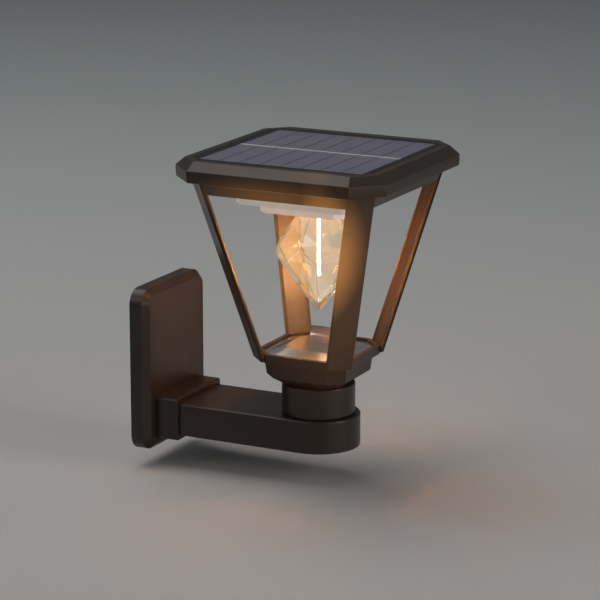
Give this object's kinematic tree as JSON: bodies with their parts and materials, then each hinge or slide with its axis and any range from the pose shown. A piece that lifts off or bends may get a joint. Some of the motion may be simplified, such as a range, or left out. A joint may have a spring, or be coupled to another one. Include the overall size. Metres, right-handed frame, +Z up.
{
  "type": "solar wall lantern",
  "caption": "Wall-mounted solar lantern: square tapered open cage with a flat solar roof and a hanging diamond bulb, turning on a flat arm from a rounded wall plate.",
  "frame": {"origin": "centre of the wall plate's back face, in the plane of the wall", "axes": "+Z up, +Y into the wall, the arm reaches out along -Y, X along the wall"},
  "size_m": [0.15, 0.1957, 0.2097],
  "materials": {
    "bronze_plate": "satin dark bronze powder coat",
    "bronze_arm": "satin dark bronze powder coat",
    "bronze_neck": "satin dark bronze powder coat",
    "bronze_cup": "satin dark bronze powder coat",
    "bronze_post": "satin dark bronze powder coat",
    "bronze_rail": "satin dark bronze powder coat",
    "bronze_roof": "satin dark bronze powder coat",
    "steel_bracket": "zinc plated",
    "steel_screw": "zinc plated",
    "steel_bolt": "zinc plated",
    "pale_tray": "glossy pale grey",
    "pale_housing": "semi-gloss pale grey",
    "foam": "closed-cell foam tape",
    "panel_board": "dark laminate",
    "solar_cell": "blue-grey silicon under resin",
    "busbar_metal": "bright strip",
    "clear_cover": "clear resin",
    "clear_bulb": "clear faceted acrylic",
    "board_white": "white solder mask",
    "board_green": "green solder mask",
    "filament": "glowing LED filament",
    "wire": "bare wire",
    "carrier_plastic": "black moulding",
    "battery_sleeve": "plain shrink sleeve",
    "contact_metal": "nickel-plated brass",
    "switch_case": "black",
    "button_rubber": "dark grey",
    "washer_nylon": "nylon"
  },
  "bodies": {
    "wall_mount": {"wall_plate": "bronze_plate", "wall_bracket": "steel_bracket", "bracket_screws": "steel_screw", "arm": "bronze_arm", "arm_screws": "steel_screw", "arm_cover": "bronze_arm", "arm_cover_screws": "steel_screw", "arm_flange": "bronze_arm", "pivot_bolt": "steel_bolt", "pivot_nut": "steel_bolt", "friction_washer": "washer_nylon", "nut_washer": "steel_bolt"},
    "lantern": {"neck": "bronze_neck", "neck_screws": "steel_screw", "base_cup": "bronze_cup", "post_front_left": "bronze_post", "post_front_right": "bronze_post", "post_back_left": "bronze_post", "post_back_right": "bronze_post", "post_foot_screws": "steel_screw", "reflector_tray": "pale_tray", "top_rail": "bronze_rail", "post_head_screws": "steel_screw"},
    "roof": {"roof_cap": "bronze_roof", "panel_seal": "foam", "panel_backing": "panel_board", "solar_cells": "solar_cell", "busbar": "busbar_metal", "panel_cover": "clear_cover", "lamp_housing": "pale_housing", "housing_screws": "steel_screw", "bulb_holder": "pale_housing", "diamond_bulb": "clear_bulb", "bulb_ring": "pale_housing", "led_board": "board_white", "led_filament": "filament", "filament_leads": "wire", "electronics_carrier": "carrier_plastic", "battery": "battery_sleeve", "battery_contacts": "contact_metal", "control_board": "board_green", "board_screws": "steel_screw", "switch_body": "switch_case"},
    "button": {"power_button": "button_rubber"}
  },
  "joints": [
    {"name": "lantern_turn", "type": "hinge", "parent": "wall_mount", "child": "lantern", "pos_m": [0, -0.1207, -0.015], "axis": [0, 0, 1], "continuous": true},
    {"name": "roof_lift", "type": "slide", "parent": "lantern", "child": "roof", "axis": [0, 0, 1], "range_m": [0, 0.1]},
    {"name": "button_press", "type": "slide", "parent": "roof", "child": "button", "axis": [0, 0, 1], "range_m": [0, 0.0012], "stiffness_N_per_m": 500, "springref_m": -0.001}
  ]
}
